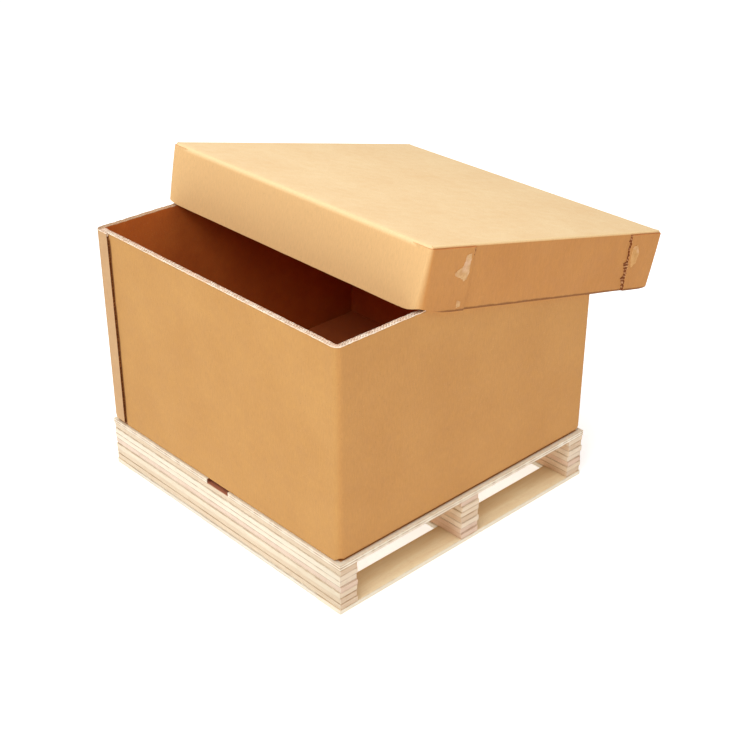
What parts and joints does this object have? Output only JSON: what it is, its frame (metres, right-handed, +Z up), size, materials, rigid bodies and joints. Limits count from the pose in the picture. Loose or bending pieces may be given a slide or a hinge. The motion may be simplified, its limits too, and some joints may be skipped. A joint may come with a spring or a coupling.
{
  "type": "cardboard pallet box with lid",
  "caption": "Heavy-duty corrugated carton standing on its own plywood two-way pallet, with a lift-off cap slid back and resting tilted across the rim.",
  "frame": {"origin": "on the floor under the middle of the pallet", "axes": "+Z up, +X from the glued left wall towards the side that the lid has been slid to, -Y towards the fork entries under the front right wall"},
  "size_m": [1.2695, 1.046, 0.9477],
  "materials": {
    "carton_board": "matt brown kraft liner",
    "lid_board": "matt light kraft liner",
    "plywood": "raw sanded pale plywood"
  },
  "bodies": {
    "root": {"carton": "carton_board", "floor_pad": "carton_board", "lid": "lid_board", "deck": "plywood", "left_runner_strip_1": "plywood", "left_runner_strip_2": "plywood", "left_runner_strip_3": "plywood", "left_runner_strip_4": "plywood", "left_runner_strip_5": "plywood", "left_runner_strip_6": "plywood", "left_runner_strip_7": "plywood", "left_runner_base_strip": "plywood", "middle_runner_strip_1": "plywood", "middle_runner_strip_2": "plywood", "middle_runner_strip_3": "plywood", "middle_runner_strip_4": "plywood", "middle_runner_strip_5": "plywood", "middle_runner_strip_6": "plywood", "middle_runner_strip_7": "plywood", "middle_runner_base_strip": "plywood", "right_runner_strip_1": "plywood", "right_runner_strip_2": "plywood", "right_runner_strip_3": "plywood", "right_runner_strip_4": "plywood", "right_runner_strip_5": "plywood", "right_runner_strip_6": "plywood", "right_runner_strip_7": "plywood", "right_runner_base_strip": "plywood", "front_cross_board": "plywood", "rear_cross_board": "plywood"}
  },
  "joints": []
}
